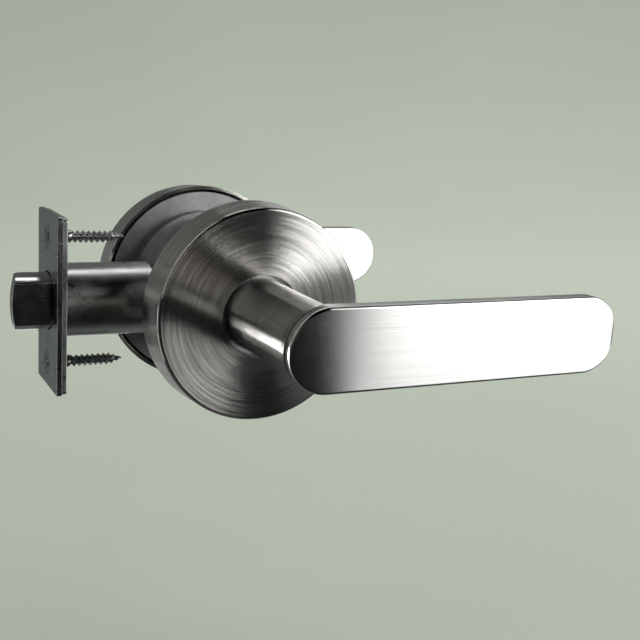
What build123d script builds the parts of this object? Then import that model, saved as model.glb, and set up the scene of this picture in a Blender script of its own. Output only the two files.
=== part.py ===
from build123d import *
import math
import os

# A passage door lever set with round roses and a tubular spring latch, in millimetres.
# X runs along the levers from the spindle to their tips, Y runs into the door, Z is up.
# The origin is where the spindle's axis meets the outside face of the door.

# the door that the set is made for
DOOR_THICKNESS = 44.45
BACKSET = 60.325

# levers: heights along a trim's own axis are measured outward from the door's face
NECK_R = 11.9
NECK_THIN_R = 11.3
FLARE_START = 50.6
BLADE_BACK = 54.7
BLADE_FRONT = 60.0
BLADE_HEIGHT = 25.4
BLADE_REACH = 93.1
TIP_ROLL_START = 102.0
TIP_ROLL_R = 7.0
TIP_ROLL_LENGTH = 5.0
BLADE_FRONT_ROUND = 0.9
BLADE_BACK_ROUND = 0.6

# shank, the turned inner end of the neck
JOURNAL_R = 11.0
KEY_R = 11.7
KEY_FLAT = 11.1
SHOULDER = 10.9
SHANK_END = -4.2
SHANK_CHAMFER = 0.6
GROOVE_R = 10.2
GROOVE_TOP = -0.65
GROOVE_WIDTH = 1.2

# spindle
SPINDLE_SIDE = 8.0
SPINDLE_LENGTH = 80.0
SPINDLE_CHAMFER = 0.6
SPINDLE_END_CHAMFER = 0.4
SOCKET_SIDE = 8.2
SOCKET_TOP = 18.5

# roses
ROSE_BASE_R = 35.6
ROSE_FACE_R = 34.7
ROSE_DEPTH = 13.1
ROSE_WALL = 1.2
ROSE_HOLE_R = 13.35
ROSE_CORNER = 1.1
ROSE_HOLE_ROUND = 0.3

# mounting plates
PLATE_R = 33.4
PLATE_THICKNESS = 2.2
PLATE_POCKET = 0.6
PLATE_RIM_HEIGHT = 6.6
PLATE_RIM_WALL = 1.6
HUB_BORE_R = 12.45
HUB_R = 13.9
HUB_TOP = 8.4
RING_R = 26.7
RING_WALL = 1.7
RING_DEPTH = 4.5
RIB_COUNT = 8
RIB_NEAR_R = 26.0
RIB_HALF_WIDTH = 0.8
RIB_TOP = 5.2
CATCH_COUNT = 3
CATCH_HEIGHT = 4.0
CATCH_R = 1.4
CATCH_REACH = 0.55
FIXING_SPACING = 41.275
PLATE_HOLE_R = 3.0
LUG_NEAR_R = 17.4
LUG_FAR_R = 20.2
LUG_TOP = 8.1

# bushes, washers and circlips
RUNNING_CLEARANCE = 0.05
BUSH_R = 12.4
BUSH_FLANGE = 1.0
WASHER_R = 15.5
WASHER_THICKNESS = 1.1
CIRCLIP_R = 12.5
CIRCLIP_THICKNESS = 1.1
CIRCLIP_GAP = 6.0
EYE_PLACE_R = 12.9
EYE_ANGLE = 21.0
EYE_R = 1.9
EYE_HOLE_R = 0.9

# return springs and their drivers
SPRING_WIRE = 1.4
SPRING_R = 15.2
SPRING_LOW = 3.3
SPRING_HIGH = 7.5
SPRING_TURNS = 3
LEG_OFFSET = 4.0
LEG_REACH = 24.2
DRIVER_LOW = 9.6
DRIVER_THICKNESS = 1.2
DRIVER_R = 16.5
TAB_NEAR_R = 21.0
TAB_FAR_R = 23.2
TAB_LOW = 2.9
TAB_HALF_WIDTH = 3.2

# posts and through screws
POST_R = 4.0
POST_LENGTH = 36.0
POST_BORE_DEPTH = 22.0
STAKE_R = 4.4
STAKE_HEIGHT = 0.9
SCREW_R = 2.5
SCREW_LENGTH = 30.0
SCREW_HEAD_R = 4.4
SCREW_HEAD_HEIGHT = 2.8
SCREW_HEAD_ROUND = 1.4
SCREW_RECESS = (4.6, 1.7, 0.9)
SCREW_TURN = 25.0

# latch: its axis lies in the middle of the door
LATCH_Y = DOOR_THICKNESS / 2
FACEPLATE_HEIGHT = 57.15
FACEPLATE_WIDTH = 28.575
PLATE_SHEET = 1.6
FACEPLATE_CORNER = 1.2
APERTURE_R = 9.6
BACK_PLATE_INSET = 0.4
WOOD_SCREW_HEAD_R = 4.2
HEAD_EDGE = 0.2
BACK_PLATE_HOLE_R = 3.0
WOOD_SCREW_R = 2.05
WOOD_SCREW_LENGTH = 25.0
WOOD_SCREW_POINT = 5.0
WOOD_SCREW_RECESS = (4.4, 1.6, 0.9)
WOOD_SCREW_TURNS = (-10.0, 50.0)
TUBE_R = 12.0
TUBE_WALL = 1.0
TUBE_END = -27.5

# latch bolt
BOLT_R = 9.2
BOLT_FLAT = 6.3
BOLT_PROJECTION = 12.2
BOLT_TRAVEL = 12.0
NOSE_ROUND_R = 30.0
NOSE_THICKNESS = 4.2
COLLAR_R = 10.6
COLLAR_THICKNESS = 2.5
STEM_END = -44.0
STEM_HALF_WIDTH = 3.5
STEM_HALF_HEIGHT = 4.6
BOLT_EDGE_ROUND = 0.35
PIN_X = -47.0
PIN_R = 1.45

# draw bar and hub: the arms' tips stand 30 degrees behind the upright at rest
BAR_THICKNESS = 1.6
BAR_HALF_HEIGHT = 4.0
BAR_LEFT = -51.5
WEB_LEFT = -22.2
WEB_RIGHT = -19.5
FORK_OUTER = 11.4
FORK_INNER = 7.5
FINGER_LEFT = -4.2
FINGER_RIGHT = -2.2
FINGER_HALF_WIDTH = 3.4
HUB_BARREL_R = 7.2
HUB_COLLAR_R = 8.6
ARM_REACH = 12.0
ARM_TIP_R = 1.4
ARM_INNER_Y = 1.1
ARM_HEEL_DEPTH = 1.2
ARM_HEEL_HALF_HEIGHT = 4.0
TRAVEL_ANGLE = 60.0

# latch case
CASE_INNER_Y = 5.0
CASE_SHEET = 1.2
CASE_HALF_HEIGHT = 10.2
CASE_NECK_HALF_HEIGHT = 8.6
CASE_LEFT = -28.9
CASE_RIGHT = 13.5
CASE_BODY_LEFT = -26.5
CASE_CORNER = 2.5
CASE_NECK_RIGHT = -10.0
CASE_SLOT = (-16.0, 6.0, 5.0)
RIVETS_LEFT = (-24.6, 7.0, 2.0)
RIVETS_RIGHT = (10.8, 5.5, 1.6)
RIVET_R = 1.3
RIVET_HEAD_R = 2.3
RIVET_HEAD_HEIGHT = 0.6
SEAT_LEFT = -30.2
SEAT_THICKNESS = 1.2
LATCH_SPRING_R = 7.6
LATCH_SPRING_WIRE = 1.2
LATCH_SPRING_TURNS = 8

# each trim is made about +Z, outward from the door, and set on its own side of the door
OUTSIDE = Plane(origin=(0, 0, 0), x_dir=(1, 0, 0), z_dir=(0, -1, 0))
INSIDE = Plane(origin=(0, DOOR_THICKNESS, 0), x_dir=(1, 0, 0), z_dir=(0, 1, 0))
LATCH = Pos(0, LATCH_Y, 0)
EDGE = -BACKSET
TOP = (Align.CENTER, Align.CENTER, Align.MAX)


def turned(*points):
    """A solid of revolution about Z, from its (radius, height) corners."""
    outline = make_face(Polyline(*points, close=True))
    return revolve(Plane.XZ * outline, Axis.Z)


def tube(outer, inner, low, high):
    """A plain ring about Z between two heights."""
    return turned((inner, low), (outer, low), (outer, high), (inner, high))


def rod(start, end, radius):
    """A round bar between two points."""
    line = Vector(*end) - Vector(*start)
    return extrude(Plane(origin=start, z_dir=line) * Circle(radius), line.length)


def slab(x, y, z):
    """A block from its (low, high) pair along each axis."""
    size = [pair[1] - pair[0] for pair in (x, y, z)]
    middle = [(pair[1] + pair[0]) / 2 for pair in (x, y, z)]
    return Pos(*middle) * Box(*size)


def circles(shape, radius, height):
    """The round edges of a shape with this radius, at this height."""
    round_edges = shape.edges().filter_by(GeomType.CIRCLE)
    return round_edges.filter_by(
        lambda e: abs(e.radius - radius) < 0.01 and abs(e.center().Z - height) < 0.01
    )


def cross_recess(size, depth, width):
    """The cutter for a cross-shaped driver recess, down from z = 0."""
    bar = Pos(0, 0, -depth / 2) * Box(size, width, depth)
    return bar + Rot(0, 0, 90) * bar + Cone(width * 0.2, width * 0.9, depth, align=TOP)


def coil(radius, wire, low, high, turns):
    """A round-wire helix about Z, with its wire's centre between two heights."""
    path = Helix(pitch=(high - low) / turns, height=high - low, radius=radius)
    path = Pos(0, 0, low) * path
    return sweep(Plane(origin=path @ 0, z_dir=path % 0) * Circle(wire / 2), path, is_frenet=True)


def make_rose():
    """Drawn round cover with an open middle that the lever's blade can pass through."""
    shell = turned(
        (ROSE_HOLE_R, ROSE_DEPTH),
        (ROSE_FACE_R, ROSE_DEPTH),
        (ROSE_BASE_R, 0),
        (ROSE_BASE_R - ROSE_WALL, 0),
        (ROSE_FACE_R - ROSE_WALL, ROSE_DEPTH - ROSE_WALL),
        (ROSE_HOLE_R, ROSE_DEPTH - ROSE_WALL),
    )
    shell = fillet(circles(shell, ROSE_FACE_R, ROSE_DEPTH), ROSE_CORNER)
    return fillet(circles(shell, ROSE_HOLE_R, ROSE_DEPTH), ROSE_HOLE_ROUND)


def make_mounting_plate():
    """Die-cast plate: bearing hub, rim for the rose, ring for the cross bore, spring lug."""
    plate = turned(
        (HUB_BORE_R, PLATE_POCKET),
        (RING_R - RING_WALL, PLATE_POCKET),
        (RING_R - RING_WALL, -RING_DEPTH),
        (RING_R, -RING_DEPTH),
        (RING_R, 0),
        (PLATE_R, 0),
        (PLATE_R, PLATE_RIM_HEIGHT),
        (PLATE_R - PLATE_RIM_WALL, PLATE_RIM_HEIGHT),
        (PLATE_R - PLATE_RIM_WALL, PLATE_THICKNESS),
        (HUB_R, PLATE_THICKNESS),
        (HUB_R, HUB_TOP),
        (HUB_BORE_R, HUB_TOP),
    )
    for number in range(RIB_COUNT):
        rib = slab(
            (RIB_NEAR_R, PLATE_R - 1.0),
            (-RIB_HALF_WIDTH, RIB_HALF_WIDTH),
            (PLATE_THICKNESS - 0.1, RIB_TOP),
        )
        plate += Rot(0, 0, (number + 0.5) * 360 / RIB_COUNT) * rib
    for number in range(CATCH_COUNT):
        inner = (PLATE_R - 1.0, 0, CATCH_HEIGHT)
        catch = rod(inner, (PLATE_R + CATCH_REACH, 0, CATCH_HEIGHT), CATCH_R)
        plate += Rot(0, 0, (number + 0.5) * 360 / CATCH_COUNT) * catch
    plate += slab(
        (LUG_NEAR_R, LUG_FAR_R),
        (-TAB_HALF_WIDTH, TAB_HALF_WIDTH),
        (PLATE_THICKNESS - 0.1, LUG_TOP),
    )
    for side in (-1, 1):
        hole = Cylinder(PLATE_HOLE_R, 3 * PLATE_THICKNESS)
        plate -= Pos(0, side * FIXING_SPACING / 2, PLATE_THICKNESS / 2) * hole
    return plate


def make_bush():
    """Flanged plastic bearing in the plate's hub."""
    bore = JOURNAL_R + RUNNING_CLEARANCE
    return turned(
        (bore, PLATE_POCKET + 0.1),
        (BUSH_R, PLATE_POCKET + 0.1),
        (BUSH_R, HUB_TOP),
        (HUB_R, HUB_TOP),
        (HUB_R, HUB_TOP + BUSH_FLANGE),
        (bore, HUB_TOP + BUSH_FLANGE),
    )


def make_return_spring():
    """Torsion spring round the hub, with two legs that straddle the plate's lug."""
    angle = math.degrees(math.asin(LEG_OFFSET / SPRING_R))
    turns = SPRING_TURNS - 2 * angle / 360
    spring = Rot(0, 0, angle) * coil(SPRING_R, SPRING_WIRE, SPRING_LOW, SPRING_HIGH, turns)
    bend = SPRING_R * math.cos(math.radians(angle))
    for side, height in ((1, SPRING_LOW), (-1, SPRING_HIGH)):
        start = (bend, side * LEG_OFFSET, height)
        end = (LEG_REACH, side * LEG_OFFSET, height)
        spring += rod(start, end, SPRING_WIRE / 2)
        spring += Pos(*start) * Sphere(SPRING_WIRE / 2)
    return spring


def double_flat(radius, flat):
    """A circle with two flats across X."""
    return Circle(radius) & Rectangle(2 * flat, 2 * radius)


def make_spring_driver():
    """Stamped disc keyed to the lever, with one tab bent down between the spring's legs."""
    blank = Circle(DRIVER_R) + Pos(TAB_FAR_R / 2, 0) * Rectangle(TAB_FAR_R, 2 * TAB_HALF_WIDTH)
    blank -= double_flat(KEY_R + RUNNING_CLEARANCE, KEY_FLAT + RUNNING_CLEARANCE)
    driver = Pos(0, 0, DRIVER_LOW) * extrude(blank, DRIVER_THICKNESS)
    return driver + slab(
        (TAB_NEAR_R, TAB_FAR_R),
        (-TAB_HALF_WIDTH, TAB_HALF_WIDTH),
        (TAB_LOW, DRIVER_LOW + DRIVER_THICKNESS),
    )


def make_thrust_washer():
    """Flat washer between the circlip and the plate."""
    high = PLATE_POCKET - 0.1
    return tube(WASHER_R, JOURNAL_R + RUNNING_CLEARANCE, high - WASHER_THICKNESS, high)


def make_circlip():
    """External retaining ring with two eyes, in the shank's groove."""
    ring = Circle(CIRCLIP_R) - Pos(-CIRCLIP_R, 0) * Rectangle(CIRCLIP_R, CIRCLIP_GAP)
    for side in (-1, 1):
        eye = Rot(0, 0, 180 + side * EYE_ANGLE) * Pos(EYE_PLACE_R, 0)
        ring += eye * Circle(EYE_R)
        ring -= eye * Circle(EYE_HOLE_R)
    ring -= Circle(GROOVE_R + RUNNING_CLEARANCE)
    low = GROOVE_TOP - GROOVE_WIDTH + RUNNING_CLEARANCE
    return Pos(0, 0, low) * extrude(ring, CIRCLIP_THICKNESS)


def make_neck():
    """The round neck: shank with groove and key, then a slight taper and a flare."""
    groove_low = GROOVE_TOP - GROOVE_WIDTH
    shank = turned(
        (0, SHANK_END),
        (JOURNAL_R - SHANK_CHAMFER, SHANK_END),
        (JOURNAL_R, SHANK_END + SHANK_CHAMFER),
        (JOURNAL_R, groove_low),
        (GROOVE_R, groove_low),
        (GROOVE_R, GROOVE_TOP),
        (JOURNAL_R, GROOVE_TOP),
        (JOURNAL_R, SHOULDER),
        (0, SHOULDER),
    )
    key = extrude(double_flat(KEY_R, KEY_FLAT), SHOULDER - DRIVER_LOW)
    flare_end = (BLADE_HEIGHT / 2 - BLADE_BACK_ROUND, BLADE_BACK)
    outline = Polyline((NECK_THIN_R, FLARE_START), (NECK_R, SHOULDER), (0, SHOULDER))
    outline += Polyline((0, SHOULDER), (0, BLADE_BACK + 1), (flare_end[0], BLADE_BACK + 1))
    outline += Line((flare_end[0], BLADE_BACK + 1), flare_end)
    outline += TangentArc((NECK_THIN_R, FLARE_START), flare_end, tangent=(0, 1))
    neck = revolve(Plane.XZ * make_face(outline), Axis.Z)
    return shank + Pos(0, 0, DRIVER_LOW) * key + neck


def make_blade():
    """Flat bar with round ends, whose tip rolls back towards the door."""
    stadium = SlotCenterToCenter(BLADE_REACH, BLADE_HEIGHT)
    bar = extrude(stadium, BLADE_FRONT - BLADE_BACK)
    bar = Pos(BLADE_REACH / 2, 0, BLADE_BACK) * bar
    past_tip = TIP_ROLL_START + TIP_ROLL_LENGTH
    drop = TIP_ROLL_R - math.sqrt(TIP_ROLL_R**2 - TIP_ROLL_LENGTH**2)
    top = Polyline((TIP_ROLL_START, BLADE_FRONT), (-BLADE_HEIGHT, BLADE_FRONT))
    top += Polyline((-BLADE_HEIGHT, BLADE_FRONT), (-BLADE_HEIGHT, BLADE_BACK), (past_tip, BLADE_BACK))
    top += Line((past_tip, BLADE_BACK), (past_tip, BLADE_FRONT - drop))
    roll = TangentArc(
        (TIP_ROLL_START, BLADE_FRONT), (past_tip, BLADE_FRONT - drop), tangent=(1, 0)
    )
    side_view = Plane.XZ * make_face(top + roll)
    blade = bar & extrude(side_view, BLADE_HEIGHT, both=True)
    front = blade.faces().sort_by(Axis.Z)[-1].outer_wire().edges()
    roll_face = blade.faces().filter_by(GeomType.CYLINDER).sort_by(Axis.Z)[-1]
    rim = [e for e in front + roll_face.edges() if abs(e.center().X - TIP_ROLL_START) > 0.01]
    blade = fillet(rim, BLADE_FRONT_ROUND)
    back = blade.faces().sort_by(Axis.Z)[0].outer_wire().edges()
    return fillet(back, BLADE_BACK_ROUND)


def make_lever():
    """Neck and blade in one piece, with a square socket for the spindle."""
    socket = slab(
        (-SOCKET_SIDE / 2, SOCKET_SIDE / 2),
        (-SOCKET_SIDE / 2, SOCKET_SIDE / 2),
        (SHANK_END - 1, SOCKET_TOP),
    )
    return make_neck() + make_blade() - socket


def make_spindle():
    """Square bar through the latch hub and into both levers."""
    low = LATCH_Y - SPINDLE_LENGTH / 2
    half = SPINDLE_SIDE / 2
    bar = slab((-half, half), (low, low + SPINDLE_LENGTH), (-half, half))
    bar = chamfer(bar.edges().filter_by(Axis.Y), SPINDLE_CHAMFER)
    ends = bar.faces().filter_by(Axis.Y).edges()
    return chamfer(ends, SPINDLE_END_CHAMFER)


def make_mounting_posts():
    """Two threaded sleeves, staked into the outside plate, that reach across the door."""
    post = turned(
        (0, POST_LENGTH - POST_BORE_DEPTH),
        (SCREW_R + RUNNING_CLEARANCE, POST_LENGTH - POST_BORE_DEPTH),
        (SCREW_R + RUNNING_CLEARANCE, POST_LENGTH),
        (POST_R - 0.5, POST_LENGTH),
        (POST_R, POST_LENGTH - 0.5),
        (POST_R, -PLATE_POCKET),
        (PLATE_HOLE_R - RUNNING_CLEARANCE, -PLATE_POCKET),
        (PLATE_HOLE_R - RUNNING_CLEARANCE, -PLATE_THICKNESS),
        (STAKE_R, -PLATE_THICKNESS),
        (STAKE_R - 0.8, -PLATE_THICKNESS - STAKE_HEIGHT),
        (0, -PLATE_THICKNESS - STAKE_HEIGHT),
    )
    inward = Plane(origin=(0, 0, 0), x_dir=(1, 0, 0), z_dir=(0, 1, 0))
    return [
        Pos(0, 0, side * FIXING_SPACING / 2) * (inward.location * post) for side in (-1, 1)
    ]


def make_through_screws():
    """Two machine screws from the inside plate into the posts."""
    screw = turned(
        (0, -SCREW_LENGTH),
        (SCREW_R - 0.5, -SCREW_LENGTH),
        (SCREW_R, 0.5 - SCREW_LENGTH),
        (SCREW_R, 0),
        (SCREW_HEAD_R, 0),
        (SCREW_HEAD_R, SCREW_HEAD_HEIGHT),
        (0, SCREW_HEAD_HEIGHT),
    )
    screw = fillet(circles(screw, SCREW_HEAD_R, SCREW_HEAD_HEIGHT), SCREW_HEAD_ROUND)
    screw -= Pos(0, 0, SCREW_HEAD_HEIGHT) * cross_recess(*SCREW_RECESS)
    placed = []
    for side in (-1, 1):
        place = INSIDE.location * Pos(0, side * FIXING_SPACING / 2, PLATE_THICKNESS)
        placed.append(place * (Rot(0, 0, SCREW_TURN) * screw))
    return placed


def edge_sheet(width, height, near, corner):
    """A rounded sheet across the door's edge, PLATE_SHEET thick, from x = near inward."""
    outline = Plane.YZ * RectangleRounded(width, height, corner)
    return Pos(near, 0, 0) * extrude(outline, PLATE_SHEET)


def make_latch_faceplate():
    """Visible plate on the door's edge, with the bolt's opening and two countersunk holes."""
    plate = edge_sheet(FACEPLATE_WIDTH, FACEPLATE_HEIGHT, EDGE, FACEPLATE_CORNER)
    plate -= rod((EDGE - 1, 0, 0), (EDGE + 5, 0, 0), APERTURE_R)
    for side in (-1, 1):
        wide = WOOD_SCREW_HEAD_R + RUNNING_CLEARANCE
        sink = turned((0, 1), (wide, 1), (wide, -HEAD_EDGE), (0, -HEAD_EDGE - wide))
        mouth = Plane(origin=(EDGE, 0, side * FIXING_SPACING / 2), z_dir=(-1, 0, 0))
        plate -= mouth.location * sink
    return LATCH * plate


def make_latch_back_plate():
    """Plain plate behind the faceplate, which holds the tube."""
    near = EDGE + PLATE_SHEET
    width = FACEPLATE_WIDTH - 2 * BACK_PLATE_INSET
    height = FACEPLATE_HEIGHT - 2 * BACK_PLATE_INSET
    plate = edge_sheet(width, height, near, FACEPLATE_CORNER)
    plate -= rod((near - 1, 0, 0), (near + 5, 0, 0), TUBE_R + RUNNING_CLEARANCE)
    for side in (-1, 1):
        z = side * FIXING_SPACING / 2
        plate -= rod((near - 1, 0, z), (near + 5, 0, z), BACK_PLATE_HOLE_R)
    return LATCH * plate


def make_faceplate_screws():
    """Two countersunk wood screws with cross recesses."""
    screw = turned(
        (0, -WOOD_SCREW_LENGTH),
        (0.3, -WOOD_SCREW_LENGTH),
        (WOOD_SCREW_R, WOOD_SCREW_POINT - WOOD_SCREW_LENGTH),
        (WOOD_SCREW_R, WOOD_SCREW_R - WOOD_SCREW_HEAD_R - HEAD_EDGE),
        (WOOD_SCREW_HEAD_R, -HEAD_EDGE),
        (WOOD_SCREW_HEAD_R, 0),
        (0, 0),
    )
    screw -= cross_recess(*WOOD_SCREW_RECESS)
    placed = []
    for side, turn in zip((-1, 1), WOOD_SCREW_TURNS):
        place = (EDGE, LATCH_Y, side * FIXING_SPACING / 2)
        head = Plane(origin=place, x_dir=(0, 1, 0), z_dir=(-1, 0, 0))
        placed.append(head.location * (Rot(0, 0, turn) * screw))
    return placed


def make_latch_tube():
    """Thin round barrel that fills the edge bore and guides the bolt."""
    start = EDGE + PLATE_SHEET
    barrel = rod((start, 0, 0), (TUBE_END, 0, 0), TUBE_R)
    barrel -= rod((start - 1, 0, 0), (TUBE_END + 1, 0, 0), TUBE_R - TUBE_WALL)
    return LATCH * barrel


def make_latch_side_plate(side):
    """Flat stamped side of the latch case, with the hub's bearing hole."""
    body = RectangleRounded(CASE_RIGHT - CASE_BODY_LEFT, 2 * CASE_HALF_HEIGHT, CASE_CORNER)
    body = Pos((CASE_BODY_LEFT + CASE_RIGHT) / 2, 0) * body
    neck = Rectangle(CASE_NECK_RIGHT - CASE_LEFT, 2 * CASE_NECK_HALF_HEIGHT)
    neck = Pos((CASE_LEFT + CASE_NECK_RIGHT) / 2, 0) * neck
    outline = body + neck - Circle(HUB_BARREL_R + RUNNING_CLEARANCE)
    for x, z, _ in (RIVETS_LEFT, RIVETS_RIGHT):
        for up in (-1, 1):
            outline -= Pos(x, up * z) * Circle(RIVET_R + RUNNING_CLEARANCE)
    slot_x, slot_length, slot_width = CASE_SLOT
    outline -= Pos(slot_x, 0) * SlotCenterToCenter(slot_length, slot_width)
    sheet = extrude(Plane.XZ * outline, -CASE_SHEET)
    near = CASE_INNER_Y if side > 0 else -CASE_INNER_Y - CASE_SHEET
    return LATCH * (Pos(0, near, 0) * sheet)


def make_latch_case_rivets():
    """Four shouldered rivets that hold the two side plates apart."""
    outer = CASE_INNER_Y + CASE_SHEET
    tip = outer + RIVET_HEAD_HEIGHT
    rivets = []
    for x, z, shoulder_r in (RIVETS_LEFT, RIVETS_RIGHT):
        profile = turned(
            (0, -tip),
            (RIVET_HEAD_R - 0.4, -tip),
            (RIVET_HEAD_R, -outer),
            (RIVET_R, -outer),
            (RIVET_R, -CASE_INNER_Y),
            (shoulder_r, -CASE_INNER_Y),
            (shoulder_r, CASE_INNER_Y),
            (RIVET_R, CASE_INNER_Y),
            (RIVET_R, outer),
            (RIVET_HEAD_R, outer),
            (RIVET_HEAD_R - 0.4, tip),
            (0, tip),
        )
        for up in (-1, 1):
            rivets.append(Pos(x, LATCH_Y, up * z) * (Rot(90, 0, 0) * profile))
    return rivets


def make_latch_spring_seat():
    """Disc across the tube that the spring pushes on, slotted for the draw bar."""
    right = SEAT_LEFT + SEAT_THICKNESS
    disc = rod((SEAT_LEFT, 0, 0), (right, 0, 0), TUBE_R - TUBE_WALL - 0.05)
    slot_z = BAR_HALF_HEIGHT + 0.4
    slot_y = BAR_THICKNESS / 2 + 0.3
    disc -= slab((SEAT_LEFT - 1, right + 1), (-slot_y, slot_y), (-slot_z, slot_z))
    return LATCH * disc


def make_latch_spring():
    """Compression spring that pushes the bolt out of the tube."""
    gap = LATCH_SPRING_WIRE / 2 + 0.1
    start = collar_right() + gap
    end = SEAT_LEFT - gap
    spring = coil(LATCH_SPRING_R, LATCH_SPRING_WIRE, start, end, LATCH_SPRING_TURNS)
    return LATCH * (Rot(0, 90, 0) * spring)


def collar_left():
    """Front face of the bolt's collar, just behind the faceplate."""
    return EDGE + PLATE_SHEET + 0.1


def collar_right():
    """Back face of the bolt's collar, where the spring bears."""
    return collar_left() + COLLAR_THICKNESS


def make_latch_bolt():
    """D-shaped bolt: flat on the outside, bevelled on the inside, with a slotted stem."""
    nose = EDGE - BOLT_PROJECTION
    bolt = rod((nose, 0, 0), (collar_left() + 0.1, 0, 0), BOLT_R)
    bolt -= slab((nose - 1, 0), (-2 * BOLT_R, -BOLT_FLAT), (-BOLT_R - 1, BOLT_R + 1))
    rounder = Pos(nose + NOSE_ROUND_R, 0, 0) * (
        Rot(90, 0, 0) * Cylinder(NOSE_ROUND_R, 3 * BOLT_R)
    )
    bolt = bolt & rounder
    nose_y = NOSE_THICKNESS - BOLT_FLAT
    bevel = make_face(
        Polyline(
            (nose - 1, nose_y - 0.9),
            (EDGE - 1.0, BOLT_R),
            (EDGE - 1.0, BOLT_R + 6),
            (nose - 1, BOLT_R + 6),
            close=True,
        )
    )
    bolt -= Pos(0, 0, -BOLT_R - 1) * extrude(bevel, 2 * BOLT_R + 2)
    nose_edges = bolt.edges().filter_by(lambda e: e.center().X < EDGE - 2.0)
    bolt = fillet(nose_edges, BOLT_EDGE_ROUND)
    bolt += rod((collar_left(), 0, 0), (collar_right(), 0, 0), COLLAR_R)
    bolt += slab(
        (collar_right() - 0.1, STEM_END),
        (-STEM_HALF_WIDTH, STEM_HALF_WIDTH),
        (-STEM_HALF_HEIGHT, STEM_HALF_HEIGHT),
    )
    slot_y = BAR_THICKNESS / 2 + 0.1
    bolt -= slab((BAR_LEFT - 1.0, STEM_END + 1), (-slot_y, slot_y), (-6, 6))
    return LATCH * (bolt - rod((PIN_X, -5, 0), (PIN_X, 5, 0), PIN_R + RUNNING_CLEARANCE))


def make_latch_bolt_pin():
    """Cross pin that joins the bolt's stem to the draw bar."""
    return LATCH * rod((PIN_X, -STEM_HALF_WIDTH, 0), (PIN_X, STEM_HALF_WIDTH, 0), PIN_R)


def make_draw_bar():
    """Forked flat bar: the hub's arms push its fingers and it pulls the bolt by the pin."""
    half = BAR_THICKNESS / 2
    bar = slab((BAR_LEFT, WEB_LEFT + 0.1), (-half, half), (-BAR_HALF_HEIGHT, BAR_HALF_HEIGHT))
    bar += slab((WEB_LEFT, WEB_RIGHT), (-half, half), (-FORK_OUTER, FORK_OUTER))
    for up in (-1, 1):
        prong_z = sorted((up * FORK_INNER, up * FORK_OUTER))
        finger_z = sorted((up * (FORK_INNER + 0.4), up * FORK_OUTER))
        bar += slab((WEB_RIGHT - 0.1, FINGER_RIGHT), (-half, half), prong_z)
        finger_y = (-FINGER_HALF_WIDTH, FINGER_HALF_WIDTH)
        bar += slab((FINGER_LEFT, FINGER_RIGHT), finger_y, finger_z)
    slot = SlotCenterToCenter(BOLT_TRAVEL, 2 * (PIN_R + 0.1))
    slot = Plane.XZ * (Pos(PIN_X + BOLT_TRAVEL / 2, 0) * slot)
    return LATCH * (bar - extrude(slot, 3, both=True))


def make_latch_hub():
    """Follower with a square hole, two collars and two pairs of arms."""
    outer = CASE_INNER_Y + CASE_SHEET
    hub = rod((0, -outer, 0), (0, outer, 0), HUB_BARREL_R)
    tip_x = -ARM_REACH * math.sin(math.radians(TRAVEL_ANGLE / 2))
    tip_z = ARM_REACH * math.cos(math.radians(TRAVEL_ANGLE / 2))
    heel = (tip_x - ARM_TIP_R - ARM_HEEL_DEPTH, ARM_HEEL_HALF_HEIGHT)
    arm = make_face(
        Polyline(
            (tip_x + ARM_TIP_R, -tip_z),
            (tip_x + ARM_TIP_R, tip_z),
            (tip_x - ARM_TIP_R, tip_z),
            heel,
            (heel[0], -heel[1]),
            (tip_x - ARM_TIP_R, -tip_z),
            close=True,
        )
    )
    for up in (-1, 1):
        arm += Pos(tip_x, up * tip_z) * Circle(ARM_TIP_R)
    for side in (-1, 1):
        near = ARM_INNER_Y if side > 0 else -FINGER_HALF_WIDTH
        arm_plate = extrude(Plane.XZ * arm, -(FINGER_HALF_WIDTH - ARM_INNER_Y))
        hub += Pos(0, near, 0) * arm_plate
        collar = sorted((side * (FINGER_HALF_WIDTH + 0.2), side * (CASE_INNER_Y - 0.2)))
        hub += rod((0, collar[0], 0), (0, collar[1], 0), HUB_COLLAR_R)
    half = SOCKET_SIDE / 2
    return LATCH * (hub - slab((-half, half), (-outer - 1, outer + 1), (-half, half)))


def write(name, shape):
    """Write one node's STEP file, from one solid or from a list of separate ones."""
    if isinstance(shape, list):
        shape = Compound(children=[piece.solid() for piece in shape])
    export_step(shape, f"parts/{name}.step")


def main():
    os.makedirs("parts", exist_ok=True)
    trim_pieces = {
        "rose": make_rose(),
        "mounting_plate": make_mounting_plate(),
        "bush": make_bush(),
        "return_spring": make_return_spring(),
        "spring_driver": make_spring_driver(),
        "thrust_washer": make_thrust_washer(),
        "circlip": make_circlip(),
        "lever": make_lever(),
    }
    for side, place in (("outside", OUTSIDE), ("inside", INSIDE)):
        for name, piece in trim_pieces.items():
            write(f"{side}_{name}", place.location * piece)
    write("spindle", make_spindle())
    write("mounting_posts", make_mounting_posts())
    write("through_screws", make_through_screws())
    write("latch_faceplate", make_latch_faceplate())
    write("latch_back_plate", make_latch_back_plate())
    write("faceplate_screws", make_faceplate_screws())
    write("latch_tube", make_latch_tube())
    write("latch_side_plate_outside", make_latch_side_plate(-1))
    write("latch_side_plate_inside", make_latch_side_plate(1))
    write("latch_case_rivets", make_latch_case_rivets())
    write("latch_spring_seat", make_latch_spring_seat())
    write("latch_spring", make_latch_spring())
    write("latch_bolt", make_latch_bolt())
    write("latch_bolt_pin", make_latch_bolt_pin())
    write("draw_bar", make_draw_bar())
    write("latch_hub", make_latch_hub())


main()
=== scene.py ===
import math

import bmesh
import bpy
from mathutils import Matrix, Vector
from mathutils.geometry import tessellate_polygon


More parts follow.
